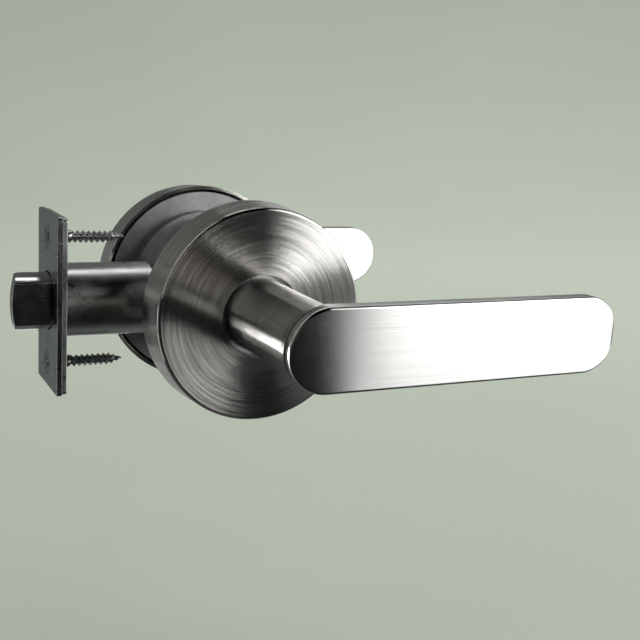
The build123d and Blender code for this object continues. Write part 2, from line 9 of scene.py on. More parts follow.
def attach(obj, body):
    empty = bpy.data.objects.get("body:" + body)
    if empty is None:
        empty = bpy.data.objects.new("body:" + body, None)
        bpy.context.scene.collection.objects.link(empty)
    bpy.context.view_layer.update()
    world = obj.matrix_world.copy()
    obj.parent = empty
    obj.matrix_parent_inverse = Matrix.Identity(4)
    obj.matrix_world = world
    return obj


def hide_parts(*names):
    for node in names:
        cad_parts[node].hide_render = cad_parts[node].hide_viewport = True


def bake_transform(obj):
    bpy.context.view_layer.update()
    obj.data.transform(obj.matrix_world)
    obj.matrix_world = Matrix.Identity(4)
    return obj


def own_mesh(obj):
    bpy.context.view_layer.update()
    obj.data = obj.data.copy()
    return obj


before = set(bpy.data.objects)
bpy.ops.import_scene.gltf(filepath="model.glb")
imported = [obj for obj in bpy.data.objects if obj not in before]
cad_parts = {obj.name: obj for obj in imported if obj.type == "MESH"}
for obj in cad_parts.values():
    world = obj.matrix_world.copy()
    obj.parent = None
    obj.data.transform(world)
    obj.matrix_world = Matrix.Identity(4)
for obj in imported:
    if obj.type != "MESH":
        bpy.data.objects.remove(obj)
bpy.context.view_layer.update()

# Lengths are in millimetres until a mesh is made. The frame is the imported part's own:
# X runs along the levers, Y into the door, Z up, and the origin is on the door's outside face.
MM = 0.001
DOOR = 44.45
LATCH_Y = DOOR / 2
EDGE = -60.325
SCREW_SPACING = 41.275
WIRE_SIDES = 14
SHARP_ANGLE = 32.0
SEAM_METRES = 1e-7

# levers, as (u, v, s): along the blade, across it, and out from the door
RING = 160
ROUND_STEPS = 6
FLARE_STEPS = 12
NECK_STEPS = 24
NECK_TOP = (11.3, 50.6)
NECK_BOTTOM = (11.9, 10.9)
FLARE_R = 10.906
FLARE_ANGLE = 22.08
BLADE_R = 12.7
BLADE_REACH = 93.1
BLADE_BACK = 54.7
BLADE_FRONT = 60.0
FRONT_ROUND = 0.9
BACK_ROUND = 0.6
NECK_BLEND = 2.96
ROLL_START = 102.0
ROLL_R = 7.0
KEY_R = 11.7
KEY_FLAT = 11.1
SOCKET_HALF = 4.1
SOCKET_TOP = 18.5
# the shank below the neck, in (radius, height, kind of ring)
SHANK_RINGS = (
    (11.88, 11.15, "round"),
    (11.75, 10.95, "round"),
    (KEY_R, 10.9, "round"),
    (KEY_R, 10.85, "key"),
    (KEY_R, 9.6, "key"),
    (11.0, 9.6, "round"),
    (11.0, -0.65, "round"),
    (10.2, -0.65, "round"),
    (10.2, -1.85, "round"),
    (11.0, -1.85, "round"),
    (11.0, -3.6, "round"),
    (10.4, -4.2, "round"),
    (SOCKET_HALF, -4.2, "square"),
    (SOCKET_HALF, SOCKET_TOP, "square"),
)

# roses: outline in (radius, height, corner rounding)
ROSE_SIDES = 256
ROSE_STEPS = 8
ROSE_OUTLINE = (
    (13.35, 13.1, 0.3),
    (34.7, 13.1, 1.1),
    (35.6, 0.0, 0.2),
    (34.4, 0.0, 0.2),
    (33.5, 11.9, 0.5),
    (13.35, 11.9, 0.1),
)

# return springs: the bends are (radius, sideways from the leg) where a leg meets the coil
SPRING_R = 15.2
SPRING_COILS = 3
SPRING_STEPS = 140
SPRING_BENDS = ((17.2, 0.0), (15.9, 0.12), (15.1, 0.6))
SPRING_WIRE = 0.7
SPRING_LOW = 3.3
SPRING_HIGH = 7.5
SPRING_LEG = 4.0
SPRING_LEG_END = 24.2

# latch
FACEPLATE_HALF = (14.2875, 28.575)
BACK_PLATE_HALF = (13.8875, 28.175)
SHEET = 1.6
SHEET_STEPS = 4
PLATE_CORNER = 1.2
PLATE_CORNER_STEPS = 6
OPENING_SIDES = 96
SCREW_HOLE_SIDES = 64
# front and back edge rounds of each plate, and its holes in (radius, depth)
FACEPLATE_ROUNDS = (0.3, 0.1)
FACEPLATE_OPENING = ((9.75, 0.0), (9.64, 0.05), (9.6, 0.15), (9.6, SHEET))
COUNTERSINK = ((4.33, 0.0), (4.27, 0.03), (4.25, 0.1), (4.25, 0.2), (2.85, SHEET))
BACK_PLATE_ROUNDS = (0.1, 0.25)
BACK_PLATE_OPENING = ((12.05, 0.0), (12.05, SHEET))
BACK_PLATE_SCREW_HOLE = ((3.0, 0.0), (3.0, 1.5), (3.1, SHEET))
TUBE_OUTLINE = (
    (11.0, 0.0, 0.1),
    (12.0, 0.0, 0.1),
    (12.0, 31.225, 0.35),
    (11.0, 31.225, 0.35),
)
TUBE_SIDES = 160
TUBE_STEPS = 5
LATCH_SPRING_R = 7.6
LATCH_SPRING_WIRE = 0.6
LATCH_SPRING_SPAN = (-55.425, -30.9)
LATCH_SPRING_TURNS = 8
LATCH_SPRING_STEPS = 40

# screws: heads in (radius, height), crosses in (top, depth, reach, width), and the height of
# the machine screws' seat inside the door's inner face
WOOD_THREAD = {"crest": 2.05, "root": 1.35, "pitch": 1.8, "low": -24.6, "high": -7.5}
MACHINE_THREAD = {"crest": 2.5, "root": 2.1, "pitch": 0.8, "low": -29.7, "high": -6.0}
THREAD_SIDES = 48
THREAD_STEPS = 12
THREAD_RUN_OUT = 0.6
THREAD_SLOPE = 3.2
POINT_SHARE = 0.16
WOOD_HEAD = ((3.0, -0.1), (3.85, -0.13), (4.08, -0.22), (4.2, -0.4), (2.1, -2.45), (2.05, -6.0))
WOOD_POINT = 5.0
WOOD_CROSS = (-0.1, 1.5, 2.3, 0.95)
WOOD_CROSS_TURNS = (-10.0, 50.0)
MACHINE_HEAD = (
    (1.5, 2.8),
    (2.9, 2.75),
    (3.6, 2.5),
    (4.15, 2.0),
    (4.38, 1.4),
    (4.4, 0.1),
    (4.3, 0.0),
    (2.5, 0.0),
    (2.5, -5.0),
)
MACHINE_POINT = 0.6
MACHINE_SEAT = 2.2
MACHINE_CROSS = (2.8, 1.7, 2.3, 0.9)
MACHINE_CROSS_TURN = 25.0
# a cross starts above its top, wider, and narrows: shares of its depth, reach and width
CROSS_RISE = 0.5
CROSS_FLARE = 1.08
CROSS_TAPER = ((0.0, 1.0, 1.0), (0.55, 0.82, 0.9), (1.0, 0.34, 0.6))

# camera, set where the photograph was taken from
CAMERA_PLACE = (-0.12819, -0.29637, 0.06772)
CAMERA_AIM = (0.45465, 0.86471, -0.21347)
CAMERA_UP = (0.04220, 0.21848, 0.97492)
CAMERA_LENS = 55.9
CAMERA_SENSOR = 36.0
CAMERA_CLIP = (0.01, 20.0)

# floor and wall, in metres: a flat disc with a pinhole at its centre, a bowl and a wall
FLOOR_Z = -0.16
PINHOLE = 0.00001
FLAT_STEP = 0.1
FLAT_STEPS = 14
BOWL_R = 0.8
BOWL_STEPS = 12
WALL_TOP = 2.6
FLOOR_SIDES = 96

# softboxes: name, direction, distance in metres, (width, height), watts, colour
WHITE = (1.0, 1.0, 1.0)
CREAM = (1.0, 0.92, 0.8)
SOFTBOXES = (
    ("key", (0.777, -0.597, 0.27), 1.017, (0.82, 0.645), 9.0, WHITE),
    ("key_low", (0.777, -0.597, -0.20), 1.0, (0.84, 0.305), 1.5, WHITE),
    ("key_edge", (0.5135, -0.944, -0.24), 1.101, (0.03, 0.35), 0.02, WHITE),
    ("right", (0.97, 0.15, -0.15), 1.0, (0.5, 0.5), 0.6, WHITE),
    ("front", (0.065, -0.998, 0.012), 1.1, (0.14, 0.2), 0.08, CREAM),
    ("rim", (-0.62, -0.44, 0.60), 0.9, (0.24, 1.3), 1.2, WHITE),
    ("left_low", (-0.81, 0.43, -0.37), 0.9, (0.14, 0.6), 0.7, WHITE),
    ("back_right", (0.62, 0.70, 0.60), 1.1, (0.5, 0.5), 0.7, WHITE),
    ("back_left", (-0.66, 0.70, 0.58), 1.1, (0.6, 0.5), 0.05, WHITE),
    ("inside", (0.10, 0.95, -0.25), 1.0, (0.4, 0.5), 0.8, WHITE),
    ("top", (0.12, 0.32, 0.95), 1.0, (0.45, 0.25), 0.85, WHITE),
)
# A lamp beside the latch that faces away from the door: its own axes, one a row.
STRIP_PLACE = (-0.17, -0.014, -0.058)
STRIP_TURN = ((0.91, 0.0, 0.415), (0.415, 0.0, -0.91), (0.0, 1.0, 0.0))
STRIP_SIZE = (0.2, 0.03)
STRIP_POWER = 0.9
OVERHEAD = ("overhead", (0.45, 0.35, 1.0), 1.9, (2.8, 2.8), 52.0, WHITE)

# world light: from where to where it changes along Y and along Z, and its level there
WORLD_BACK = (-0.35, 0.4, 0.012, 0.16)
WORLD_ABOVE = (-0.1, 0.6, 0.0, -0.03)
WORLD_COLOR = (0.93, 1.0, 0.95, 1.0)


# ---------------------------------------------------------------- meshes


def outside(u, v, s):
    """A trim point (u, v, s) on the outside of the door."""
    return (u, -s, v)


def inside(u, v, s):
    """A trim point (u, v, s) on the inside of the door."""
    return (u, DOOR + s, -v)


def filleted(outline, steps):
    """Points of a closed outline whose corners (a, b, radius) are rounded."""
    points = []
    for i, (a, b, radius) in enumerate(outline):
        corner = Vector((a, b))
        to_last = (Vector(outline[i - 1][:2]) - corner).normalized()
        to_next = (Vector(outline[(i + 1) % len(outline)][:2]) - corner).normalized()
        half = to_last.angle(to_next) / 2
        centre = corner + (to_last + to_next).normalized() * radius / math.sin(half)
        start = corner + to_last * radius / math.tan(half) - centre
        end = corner + to_next * radius / math.tan(half) - centre
        turn = start.angle_signed(end)
        for step in range(steps + 1):
            arm = start.copy()
            arm.rotate(Matrix.Rotation(-turn * step / steps, 2))
            points.append(tuple(centre + arm))
    return points


def circle(count):
    """(cosine, sine) pairs once round."""
    angles = [2 * math.pi * i / count for i in range(count)]
    return [(math.cos(a), math.sin(a)) for a in angles]


def bridge(low, high, closed=True):
    """Quads between two rows of vertex numbers."""
    last = len(low) if closed else len(low) - 1
    size = len(low)
    return [(low[i], low[(i + 1) % size], high[(i + 1) % size], high[i]) for i in range(last)]


def lathe(outline, count, closed=True):
    """A turned shape from (radius, s) points, as a ring or an open skin: vertices and faces."""
    ring = circle(count)
    points = [(c * r, n * r, s) for r, s in outline for c, n in ring]
    rows = [list(range(i * count, (i + 1) * count)) for i in range(len(outline))]
    faces = []
    for low, high in zip(rows, rows[1:]):
        faces += bridge(low, high)
    if closed:
        faces += bridge(rows[-1], rows[0])
    return points, faces


def wire(path, radius):
    """A round wire along a path of points, closed by flat ends."""
    path = [Vector(p) for p in path]
    tangents = [(b - a).normalized() for a, b in zip(path, path[1:])]
    middle = [(a + b).normalized() for a, b in zip(tangents, tangents[1:])]
    tangents = [tangents[0]] + middle + [tangents[-1]]
    across = tangents[0].orthogonal().normalized()
    points = []
    rows = []
    for place, tangent in zip(path, tangents):
        across = (across - tangent * across.dot(tangent)).normalized()
        other = tangent.cross(across)
        rows.append(list(range(len(points), len(points) + WIRE_SIDES)))
        ring = circle(WIRE_SIDES)
        points += [tuple(place + (across * c + other * s) * radius) for c, s in ring]
    faces = [tuple(rows[0]), tuple(rows[-1])]
    for low, high in zip(rows, rows[1:]):
        faces += bridge(low, high)
    return points, faces


def solid_mesh(name, points, faces, indices=None):
    """A mesh from points in millimetres, its seams joined and its faces turned outward."""
    mesh = bpy.data.meshes.new(name)
    mesh.from_pydata([Vector(p) * MM for p in points], [], faces)
    if indices:
        mesh.polygons.foreach_set("material_index", indices)
    bm = bmesh.new()
    bm.from_mesh(mesh)
    bmesh.ops.remove_doubles(bm, verts=bm.verts, dist=SEAM_METRES)
    bmesh.ops.recalc_face_normals(bm, faces=bm.faces)
    bm.to_mesh(mesh)
    bm.free()
    return mesh


def add_object(name, data):
    """An object of the scene with this mesh, light or camera."""
    made = bpy.data.objects.new(name, data)
    bpy.context.scene.collection.objects.link(made)
    return made


def make_piece(name, points, faces, body, nodes, materials, indices=None):
    """A piece of the set: its surface, the CAD nodes it replaces, and the body it rides."""
    piece = add_object(name, solid_mesh(name, points, faces, indices))
    for material in materials:
        piece.data.materials.append(material)
    finish_surface(piece)
    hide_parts(*nodes)
    if body:
        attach(piece, body)
    return piece


def finish_surface(piece):
    """Smooth shading with sharp edges kept, weighted to the large faces."""
    piece.data.polygons.foreach_set("use_smooth", [True] * len(piece.data.polygons))
    piece.data.set_sharp_from_angle(angle=math.radians(SHARP_ANGLE))
    weighted = piece.modifiers.new("weighted", "WEIGHTED_NORMAL")
    weighted.keep_sharp = True


def carve(piece, cutter):
    """Cuts one mesh out of another."""
    piece.modifiers.clear()
    modifier = piece.modifiers.new("carve", "BOOLEAN")
    modifier.operation = "DIFFERENCE"
    modifier.solver = "EXACT"
    modifier.object = cutter
    graph = bpy.context.evaluated_depsgraph_get()
    mesh = bpy.data.meshes.new_from_object(piece.evaluated_get(graph))
    piece.modifiers.clear()
    piece.data = mesh
    bpy.data.objects.remove(cutter)
    finish_surface(piece)


def capped_sheet(contours, place):
    """A sheet from its contours, the outer one first: each is a list of loops of (a, b, depth)."""
    points = []
    faces = []
    fronts = []
    backs = []
    for loops in contours:
        rows = []
        for loop in loops:
            rows.append(list(range(len(points), len(points) + len(loop))))
            points += loop
        for low, high in zip(rows, rows[1:]):
            faces += bridge(low, high)
        fronts.append(rows[0])
        backs.append(rows[-1])
    for rows in (fronts, backs):
        numbers = [n for row in rows for n in row]
        outlines = [[Vector(points[n][:2]).to_3d() for n in row] for row in rows]
        faces += [tuple(numbers[i] for i in tri) for tri in tessellate_polygon(outlines)]
    return [place(*p) for p in points], faces


def edge_profile(thickness, front_round, back_round, steps):
    """(inset, depth) pairs down a sheet's rounded edge, from its front to its back."""
    pairs = []
    for step in range(steps + 1):
        angle = math.pi / 2 * step / steps
        inset = front_round * (1 - math.sin(angle))
        pairs.append((inset, front_round * (1 - math.cos(angle))))
    for step in range(steps + 1):
        angle = math.pi / 2 * step / steps
        depth = thickness - back_round * (1 - math.sin(angle))
        pairs.append((back_round * (1 - math.cos(angle)), depth))
    return pairs


# ---------------------------------------------------------------- levers


def directions():
    """Angles of the RING points: down the blade's tip end, then up round its neck end."""
    half = RING // 2
    falls = [math.pi * i / (half - 1) for i in range(half)]
    return [math.pi / 2 - fall for fall in falls] + [-math.pi / 2 - fall for fall in falls]


def blade_loop(inset, depth, neck_inset, neck_depth):
    """A loop round the blade: its inset and depth change where the neck flows into the side."""
    points = []
    for i, angle in enumerate(directions()):
        end = BLADE_REACH if i < RING // 2 else 0.0
        share = min(1.0, max(0.0, -2.0 * math.cos(angle))) if end == 0.0 else 0.0
        share = share * share * (3 - 2 * share)
        radius = BLADE_R - inset - (neck_inset - inset) * share
        down = depth + (neck_depth - depth) * share
        u, v = end + radius * math.cos(angle), radius * math.sin(angle)
        down *= (front_height(u) - BLADE_BACK) / (BLADE_FRONT - BLADE_BACK)
        points.append((u, v, front_height(u) - down))
    return points


def blade_loops():
    """Loops from the blade's front to its back."""
    thickness = BLADE_FRONT - BLADE_BACK
    pairs = edge_profile(thickness, FRONT_ROUND, BACK_ROUND, ROUND_STEPS)
    loops = [blade_loop(*pair, *pair) for pair in pairs[: ROUND_STEPS + 1]]
    for step, pair in enumerate(pairs[ROUND_STEPS + 1 :]):
        left = 1 - step / ROUND_STEPS
        neck_pair = (BACK_ROUND * (1 - left) ** 2, thickness - NECK_BLEND * left)
        loops.append(blade_loop(*pair, *neck_pair))
    return loops


def front_height(u):
    """Height of the blade's front, which rolls back towards the door at its tip."""
    past = max(0.0, u - ROLL_START)
    return BLADE_FRONT - ROLL_R + math.sqrt(ROLL_R**2 - past**2)


def neck_rings():
    """(radius, height, kind) of the neck's rings, from the blade's back to the shank's end."""
    rings = []
    for step in range(FLARE_STEPS, -1, -1):
        angle = math.radians(FLARE_ANGLE * step / FLARE_STEPS)
        radius = NECK_TOP[0] + FLARE_R * (1 - math.cos(angle))
        rings.append((radius, NECK_TOP[1] + FLARE_R * math.sin(angle), "round"))
    for step in range(1, NECK_STEPS):
        share = step / NECK_STEPS
        radius = NECK_TOP[0] + (NECK_BOTTOM[0] - NECK_TOP[0]) * share
        rings.append((radius, NECK_TOP[1] + (NECK_BOTTOM[1] - NECK_TOP[1]) * share, "round"))
    return rings + list(SHANK_RINGS)


def ring_point(radius, kind, cosine, sine):
    """A point of a round, double-flat or square ring, in one direction."""
    if kind == "key":
        radius = min(radius, KEY_FLAT / max(abs(cosine), 1e-9))
    if kind == "square":
        radius = radius / max(abs(cosine), abs(sine))
    return radius * cosine, radius * sine


def lever_shape():
    """Vertices, faces and material numbers of a lever: 0 is the blade and 1 the turned neck."""
    half = RING // 2
    points = []
    rows = []
    for loop in blade_loops():
        rows.append(list(range(len(points), len(points) + RING)))
        points += loop
    faces = []
    for low, high in zip(rows, rows[1:]):
        faces += bridge(low, high)
    front = rows[0]
    tip, heel = front[:half], front[half:]
    for row in (tip, heel):
        for i in range(half // 2 - 1):
            faces.append((row[i], row[i + 1], row[half - 2 - i], row[half - 1 - i]))
    faces.append((tip[0], tip[-1], heel[0], heel[-1]))
    back = rows[-1]
    tip_back, heel_back = back[:half], back[half:]
    near = list(range(len(points), len(points) + half))
    radius = BLADE_R - BACK_ROUND
    angles = directions()
    points += [(radius * math.cos(a), radius * math.sin(a), BLADE_BACK) for a in angles[:half]]
    faces += bridge(near, tip_back, closed=False)
    blade_count = len(faces)
    last = near + heel_back
    for radius, height, kind in neck_rings()[1:]:
        row = list(range(len(points), len(points) + RING))
        for angle in angles:
            u, v = ring_point(radius, kind, math.cos(angle), math.sin(angle))
            points.append((u, v, height))
        faces += bridge(last, row)
        last = row
    faces.append(tuple(last))
    indices = [0] * blade_count + [1] * (len(faces) - blade_count)
    return points, faces, indices


def make_levers(blade, neck):
    points, faces, indices = lever_shape()
    for side, place in (("outside", outside), ("inside", inside)):
        name = f"{side}_lever"
        placed = [place(*p) for p in points]
        make_piece(
            f"{name}_satin", placed, faces, name, [name], [blade, neck], indices
        )


# ---------------------------------------------------------------- trims


def make_roses(material):
    points, faces = lathe(filleted(ROSE_OUTLINE, ROSE_STEPS), ROSE_SIDES)
    for side, place in (("outside", outside), ("inside", inside)):
        name = f"{side}_rose"
        placed = [place(*p) for p in points]
        make_piece(f"{name}_shell", placed, faces, "root", [name], [material])


def return_spring_path():
    """Centre line of a torsion spring: leg, coil and leg, with rounded bends."""
    turn = math.asin(SPRING_LEG / SPRING_R)
    sweep = SPRING_COILS * 2 * math.pi - 2 * turn
    leg = [(SPRING_LEG_END, SPRING_LEG)]
    leg += [(radius, SPRING_LEG + aside) for radius, aside in SPRING_BENDS]
    path = [(u, v, SPRING_LOW) for u, v in leg]
    for step in range(2, SPRING_STEPS - 1):
        share = step / SPRING_STEPS
        angle = turn + sweep * share
        height = SPRING_LOW + (SPRING_HIGH - SPRING_LOW) * share
        path.append((SPRING_R * math.cos(angle), SPRING_R * math.sin(angle), height))
    return path + [(u, -v, SPRING_HIGH) for u, v in reversed(leg)]


def make_return_springs(material):
    """Each spring lies between the plate's lug and the driver's tab, baked still on no body."""
    points, faces = wire(return_spring_path(), SPRING_WIRE)
    for side, place, still, turning in (
        ("outside", outside, SPRING_LOW, SPRING_HIGH),
        ("inside", inside, SPRING_HIGH, SPRING_LOW),
    ):
        placed = [place(*p) for p in points]
        spring = make_piece(
            f"{side}_return_spring_wire",
            placed,
            faces,
            None,
            [f"{side}_return_spring"],
            [material],
        )
        start = Vector(place(0, 0, still)) * MM
        end = Vector(place(0, 0, turning)) * MM
        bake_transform(spring)


# ---------------------------------------------------------------- screws


def cross_outline(reach, width, turn):
    """Corners of a driver's cross."""
    half = width / 2
    arm = [(reach, -half), (reach, half), (half, half)]
    corners = []
    for quarter in range(4):
        c, s = math.cos(turn + quarter * math.pi / 2), math.sin(turn + quarter * math.pi / 2)
        corners += [(c * a - s * b, s * a + c * b) for a, b in arm]
    return corners


def cross_cutter(top, depth, reach, width, turn, place):
    """A tapered cross-shaped cutter, down from a height."""
    levels = [(top + CROSS_RISE, reach * CROSS_FLARE, width * CROSS_FLARE)]
    levels += [(top - depth * a, reach * b, width * c) for a, b, c in CROSS_TAPER]
    points = []
    rows = []
    for height, arm, wide in levels:
        corners = cross_outline(arm, wide, turn)
        rows.append(list(range(len(points), len(points) + len(corners))))
        points += [(a, b, height) for a, b in corners]
    faces = [tuple(rows[0]), tuple(rows[-1])]
    for low, high in zip(rows, rows[1:]):
        faces += bridge(low, high)
    return add_object("cutter", solid_mesh("cutter", [place(*p) for p in points], faces))


def screw_shape(head, thread, tip_length):
    """A threaded screw below a turned head outline, whose last point meets the shank."""
    count = THREAD_SIDES
    ring = circle(count)
    rows = [[(c * r, n * r, s) for c, n in ring] for r, s in head]
    crest, root, pitch = thread["crest"], thread["root"], thread["pitch"]
    low, high = thread["low"], thread["high"]
    steps = int((high - low) / pitch * THREAD_STEPS)
    rows.append([(c * crest, n * crest, high + THREAD_RUN_OUT) for c, n in ring])
    for step in range(steps + 1):
        height = high + (low - high) * step / steps
        row = []
        taper = min(1.0, (height - low) / tip_length + POINT_SHARE)
        for i, (c, n) in enumerate(ring):
            phase = (height / pitch + i / count) % 1.0
            ridge = max(0.0, 1 - abs(phase - 0.5) * THREAD_SLOPE)
            radius = (root + (crest - root) * ridge) * taper
            row.append((c * radius, n * radius, height))
        rows.append(row)
    points = [p for row in rows for p in row]
    numbers = [list(range(i * count, (i + 1) * count)) for i in range(len(rows))]
    faces = [tuple(numbers[0]), tuple(numbers[-1])]
    for a, b in zip(numbers, numbers[1:]):
        faces += bridge(a, b)
    return points, faces


def make_wood_screws(material):
    """The faceplate's two countersunk screws."""
    points, faces = screw_shape(WOOD_HEAD, WOOD_THREAD, WOOD_POINT)
    for number, (side, turn) in enumerate(zip((-1, 1), WOOD_CROSS_TURNS)):

        def place(u, v, s, z=side * SCREW_SPACING / 2):
            return (EDGE - s, LATCH_Y + u, z - v)

        piece = make_piece(
            f"faceplate_screw_{number + 1}",
            [place(*p) for p in points],
            faces,
            "root",
            ["faceplate_screws"],
            [material],
        )
        carve(piece, cross_cutter(*WOOD_CROSS, math.radians(turn), place))


def make_through_screws(material):
    """The two machine screws that draw the inside plate to the posts."""
    points, faces = screw_shape(MACHINE_HEAD, MACHINE_THREAD, MACHINE_POINT)
    for number, side in enumerate((-1, 1)):

        def place(u, v, s, z=side * SCREW_SPACING / 2):
            return (u, DOOR + MACHINE_SEAT + s, z - v)

        piece = make_piece(
            f"through_screw_{number + 1}",
            [place(*p) for p in points],
            faces,
            "root",
            ["through_screws"],
            [material],
        )
        turn = math.radians(MACHINE_CROSS_TURN)
        carve(piece, cross_cutter(*MACHINE_CROSS, turn, place))


# ---------------------------------------------------------------- latch


def rounded_rectangle(half_width, half_height, corner, inset):
    """Points of a rounded rectangle, moved inward by the inset."""
    w, h = half_width - inset, half_height - inset
    radius = corner - inset
    corners = [(-w, -h, radius), (w, -h, radius), (w, h, radius), (-w, h, radius)]
    return filleted(corners, PLATE_CORNER_STEPS)


def on_edge(near):
    """Places sheet points (across, up, depth) on the door's edge, from x = near inward."""
    return lambda a, b, depth: (near + depth, LATCH_Y + a, b)


def round_hole(radii, height, count):
    """Loops of a round hole, some height above the plate's centre, from (radius, depth) pairs."""
    return [[(c * r, height + s * r, depth) for c, s in circle(count)] for r, depth in radii]


def plate_shape(half, rounds, opening, screw_hole, near):
    """A latch plate's sheet: rounded edges, a round opening and two screw holes."""
    outer = [
        [(a, b, depth) for a, b in rounded_rectangle(*half, PLATE_CORNER, inset)]
        for inset, depth in edge_profile(SHEET, *rounds, SHEET_STEPS)
    ]
    contours = [outer, round_hole(opening, 0.0, OPENING_SIDES)]
    for side in (-1, 1):
        contours.append(round_hole(screw_hole, side * SCREW_SPACING / 2, SCREW_HOLE_SIDES))
    return capped_sheet(contours, on_edge(near))


def make_faceplates(front_material, back_material):
    """The visible faceplate with its countersinks, and the plain plate behind."""
    points, faces = plate_shape(
        FACEPLATE_HALF, FACEPLATE_ROUNDS, FACEPLATE_OPENING, COUNTERSINK, EDGE
    )
    make_piece(
        "latch_faceplate_polished",
        points,
        faces,
        "root",
        ["latch_faceplate"],
        [front_material],
    )
    points, faces = plate_shape(
        BACK_PLATE_HALF,
        BACK_PLATE_ROUNDS,
        BACK_PLATE_OPENING,
        BACK_PLATE_SCREW_HOLE,
        EDGE + SHEET,
    )
    make_piece(
        "latch_back_plate_stamped",
        points,
        faces,
        "root",
        ["latch_back_plate"],
        [back_material],
    )


def make_latch_tube(material):
    """The barrel, with rolled edges."""
    points, faces = lathe(filleted(TUBE_OUTLINE, TUBE_STEPS), TUBE_SIDES)
    placed = [(EDGE + SHEET + s, LATCH_Y + u, v) for u, v, s in points]
    make_piece("latch_tube_barrel", placed, faces, "root", ["latch_tube"], [material])


def make_latch_spring(material):
    """The compression spring: an even helix of wire, riding the root body."""
    start, end = LATCH_SPRING_SPAN
    steps = LATCH_SPRING_TURNS * LATCH_SPRING_STEPS
    path = []
    for step in range(steps + 1):
        share = step / steps
        angle = 2 * math.pi * LATCH_SPRING_TURNS * share
        x = start + (end - start) * share
        y = LATCH_Y + LATCH_SPRING_R * math.cos(angle)
        path.append((x, y, LATCH_SPRING_R * math.sin(angle)))
    points, faces = wire(path, LATCH_SPRING_WIRE)
    spring = make_piece(
        "latch_spring_wire", points, faces, "root", ["latch_spring"], [material]
    )
    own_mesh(spring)


# ---------------------------------------------------------------- materials


# satin steel: dark and light of the grain, roughness range, and depth of the brushing in metres
ROSE_COLORS = ((0.44, 0.43, 0.405), (0.74, 0.725, 0.695))
ROSE_ROUGHNESS = (0.19, 0.25)
ROSE_DEPTH = 0.000005
ROSE_UNSTEADY = 0.04
NECK_COLORS = ((0.54, 0.53, 0.50), (0.68, 0.665, 0.635))
NECK_ROUGHNESS = (0.24, 0.28)
NECK_DEPTH = 0.000003
NECK_UNSTEADY = 0.05
BLADE_COLORS = ((0.54, 0.54, 0.525), (0.64, 0.64, 0.625))
BLADE_ROUGHNESS = (0.15, 0.19)
BLADE_DEPTH = 0.000004
BLADE_UNSTEADY = 0.018
BLADE_SLANT = 0.15
# grain in noise cells a metre along each axis, and for turned parts how far round their axis
TURNED_GRAIN = 1600.0
TURNED_SWEEP = 1.3
BLADE_GRAIN = (14.0, 900.0, 1700.0)
PLATE_GRAIN = (2600.0, 60.0)
PLATE_SCUFFS = (240.0, 900.0)
PLATE_COLORS = ((0.34, 0.375, 0.385), (0.72, 0.75, 0.75))
PLATE_DEPTH = 0.00001
BOLT_RUB = (60.0, 2400.0)
BOLT_COLORS = ((0.42, 0.42, 0.41), (0.72, 0.71, 0.69))
BOLT_DEPTH = 0.000006
FLOOR_COLORS = ((0.49, 0.53, 0.46), (0.53, 0.57, 0.50))


class Graph:
    """A material's node tree, with short calls for the nodes used here."""

    def __init__(self, name):
        self.material = bpy.data.materials.new(name)
        self.material.use_nodes = True
        self.tree = self.material.node_tree
        self.tree.nodes.clear()
        self.shader = self.node("ShaderNodeBsdfPrincipled")
        output = self.node("ShaderNodeOutputMaterial")
        self.link(self.shader.outputs["BSDF"], output.inputs["Surface"])
        self.place = self.node("ShaderNodeTexCoord").outputs["Object"]

    def node(self, kind, **settings):
        made = self.tree.nodes.new(kind)
        for key, value in settings.items():
            setattr(made, key, value)
        return made

    def link(self, source, target):
        if hasattr(source, "is_linked"):
            self.tree.links.new(source, target)
        else:
            target.default_value = source

    def math(self, operation, a, b=0.0):
        made = self.node("ShaderNodeMath", operation=operation)
        self.link(a, made.inputs[0])
        self.link(b, made.inputs[1])
        return made.outputs[0]

    def times(self, a, b):
        return self.math("MULTIPLY", a, b)

    def plus(self, a, b):
        return self.math("ADD", a, b)

    def split(self, vector):
        made = self.node("ShaderNodeSeparateXYZ")
        self.link(vector, made.inputs[0])
        return made.outputs

    def join(self, x, y, z):
        made = self.node("ShaderNodeCombineXYZ")
        for source, target in zip((x, y, z), made.inputs):
            self.link(source, target)
        return made.outputs[0]

    def noise(self, vector, scale, detail=3.0, roughness=0.5):
        made = self.node("ShaderNodeTexNoise")
        self.link(vector, made.inputs["Vector"])
        made.inputs["Scale"].default_value = scale
        made.inputs["Detail"].default_value = detail
        made.inputs["Roughness"].default_value = roughness
        return made.outputs[0]

    def remap(self, value, low, high, to_low, to_high):
        made = self.node("ShaderNodeMapRange")
        for source, target in zip((value, low, high, to_low, to_high), made.inputs):
            self.link(source, target)
        return made.outputs[0]

    def blend(self, share, dark, light):
        made = self.node("ShaderNodeMix", data_type="RGBA")
        self.link(share, made.inputs[0])
        made.inputs[6].default_value = (*dark, 1.0)
        made.inputs[7].default_value = (*light, 1.0)
        return made.outputs[2]

    def bump(self, height, strength, distance):
        made = self.node("ShaderNodeBump")
        made.inputs["Strength"].default_value = strength
        made.inputs["Distance"].default_value = distance
        self.link(height, made.inputs["Height"])
        return made.outputs[0]

    def surface(self, color, roughness, normal=None, metallic=1.0):
        self.shader.inputs["Metallic"].default_value = metallic
        self.link(color, self.shader.inputs["Base Color"])
        self.link(roughness, self.shader.inputs["Roughness"])
        if normal:
            self.link(normal, self.shader.inputs["Normal"])
        return self.material


